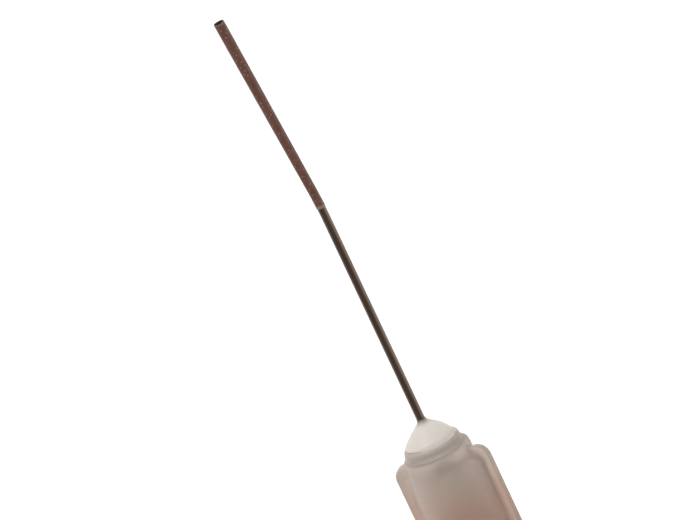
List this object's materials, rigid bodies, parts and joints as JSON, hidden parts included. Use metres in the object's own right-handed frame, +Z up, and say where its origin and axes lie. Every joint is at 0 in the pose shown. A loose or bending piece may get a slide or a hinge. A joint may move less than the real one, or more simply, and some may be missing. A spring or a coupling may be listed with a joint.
{
  "type": "glue applicator bottle",
  "caption": "Squeeze bottle for liquid adhesive with a screw ring, a plug-in nozzle and a finned push-on hub that carries a fine steel needle with a sleeved tip.",
  "frame": {"origin": "middle of the bottle's base, on the plane that it stands on", "axes": "+Z up along the bottle's and the needle's axis; the needle's upper stretch leans towards -X"},
  "size_m": [0.033, 0.033, 0.1308],
  "materials": {
    "natural_ldpe": "natural translucent LDPE, blow moulded",
    "liquid_glue": "liquid adhesive, reddish brown",
    "foam_pe": "foamed polyethylene",
    "nozzle_pp": "natural polypropylene, moulded",
    "white_pp": "white polypropylene, moulded",
    "hub_pp": "translucent warm grey polypropylene, moulded",
    "milky_epoxy": "milky cured epoxy",
    "dark_steel": "drawn stainless tube, dulled",
    "red_brown_sleeve": "matt heat-fitted sleeve",
    "tan_adhesive": "cured adhesive",
    "grey_ring": "matt moulded ring"
  },
  "bodies": {
    "bottle": {"bottle": "natural_ldpe", "glue_fill": "liquid_glue"},
    "nozzle": {"luer_nozzle": "nozzle_pp", "sealing_washer": "foam_pe"},
    "ring": {"screw_ring": "white_pp"},
    "needle": {"needle_hub": "hub_pp", "bond_bead": "milky_epoxy", "needle_tube": "dark_steel", "tip_sleeve": "red_brown_sleeve", "joint_ring": "tan_adhesive", "tip_ring": "grey_ring"}
  },
  "joints": [
    {"name": "nozzle_lift", "type": "slide", "parent": "bottle", "child": "nozzle", "axis": [0, 0, 1], "range_m": [0, 0.0048]},
    {"name": "ring_turn", "type": "hinge", "parent": "nozzle", "child": "ring", "pos_m": [0, 0, 0.0582], "axis": [0, 0, 1], "range_deg": [0, 540]},
    {"name": "hub_pull", "type": "slide", "parent": "nozzle", "child": "needle", "axis": [0, 0, 1], "range_m": [0, 0.012]}
  ],
  "couplings": [
    {"joint": "nozzle_lift", "follows": "ring_turn", "m_per_rad": 0.00050532}
  ]
}
